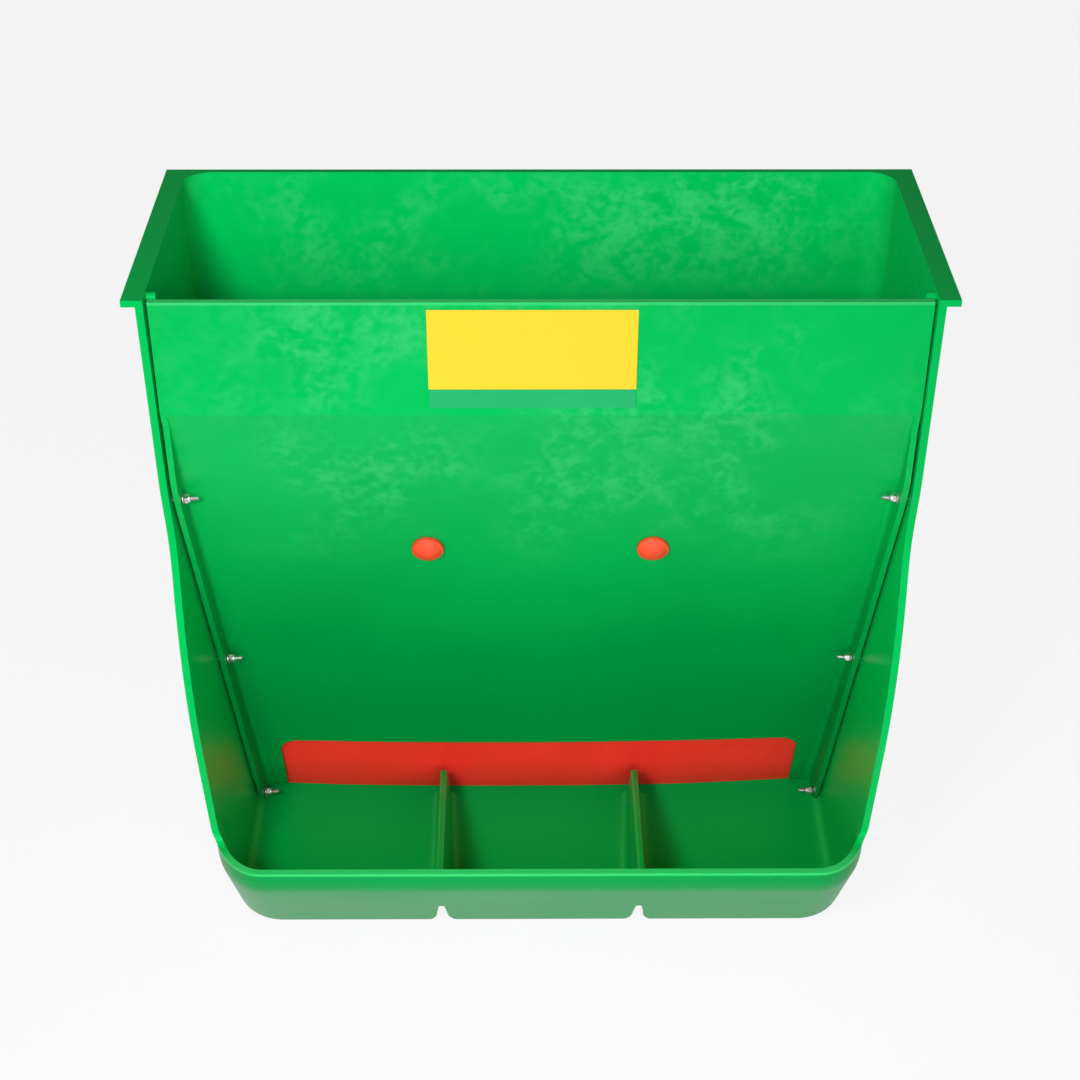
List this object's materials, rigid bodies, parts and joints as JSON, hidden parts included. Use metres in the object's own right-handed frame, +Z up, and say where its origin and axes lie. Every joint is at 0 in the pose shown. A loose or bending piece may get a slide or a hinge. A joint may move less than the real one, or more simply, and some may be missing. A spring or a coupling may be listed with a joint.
{
  "type": "lamb feed hopper",
  "caption": "Moulded plastic feed hopper for lambs: open bin with a sloping front panel, sliding feed gate and a divided trough below.",
  "frame": {"origin": "on the ground under the middle of the whole part", "axes": "+Z up, +Y from the trough to the back wall, +X to the right as seen from the trough"},
  "size_m": [0.622, 0.3286, 0.605],
  "materials": {
    "moulded_green": "semi-gloss moulded green",
    "panel_green": "semi-gloss green with cloudy marks",
    "gate_red": "smooth red sheet",
    "knob_red": "orange-red moulded knob",
    "zinc_steel": "zinc plated",
    "label_yellow": "plain yellow label film",
    "label_teal": "plain green band of the label"
  },
  "bodies": {
    "hopper": {"body_shell": "moulded_green", "front_panel": "panel_green", "side_bolt_left_1": "zinc_steel", "side_washer_left_1": "zinc_steel", "side_nut_left_1": "zinc_steel", "side_bolt_left_2": "zinc_steel", "side_washer_left_2": "zinc_steel", "side_nut_left_2": "zinc_steel", "side_bolt_left_3": "zinc_steel", "side_washer_left_3": "zinc_steel", "side_nut_left_3": "zinc_steel", "side_bolt_right_1": "zinc_steel", "side_washer_right_1": "zinc_steel", "side_nut_right_1": "zinc_steel", "side_bolt_right_2": "zinc_steel", "side_washer_right_2": "zinc_steel", "side_nut_right_2": "zinc_steel", "side_bolt_right_3": "zinc_steel", "side_washer_right_3": "zinc_steel", "side_nut_right_3": "zinc_steel", "clamp_washer_left": "zinc_steel", "clamp_nut_left": "zinc_steel", "clamp_washer_right": "zinc_steel", "clamp_nut_right": "zinc_steel", "label_field": "label_yellow", "label_band": "label_teal"},
    "gate": {"feed_gate": "gate_red"},
    "knob_left": {"clamp_knob_left": "knob_red", "knob_stud_left": "zinc_steel"},
    "knob_right": {"clamp_knob_right": "knob_red", "knob_stud_right": "zinc_steel"}
  },
  "joints": [
    {"name": "gate_slide", "type": "slide", "parent": "hopper", "child": "gate", "axis": [0, -0.2622, 0.965], "range_m": [0, 0.06]},
    {"name": "knob_turn_left", "type": "hinge", "parent": "hopper", "child": "knob_left", "pos_m": [-0.093, -0.02709, 0.35419], "axis": [0, -0.965, -0.2622], "range_deg": [0, 360]},
    {"name": "knob_turn_right", "type": "hinge", "parent": "hopper", "child": "knob_right", "pos_m": [0.093, -0.02709, 0.35419], "axis": [0, -0.965, -0.2622], "range_deg": [0, 360]}
  ]
}
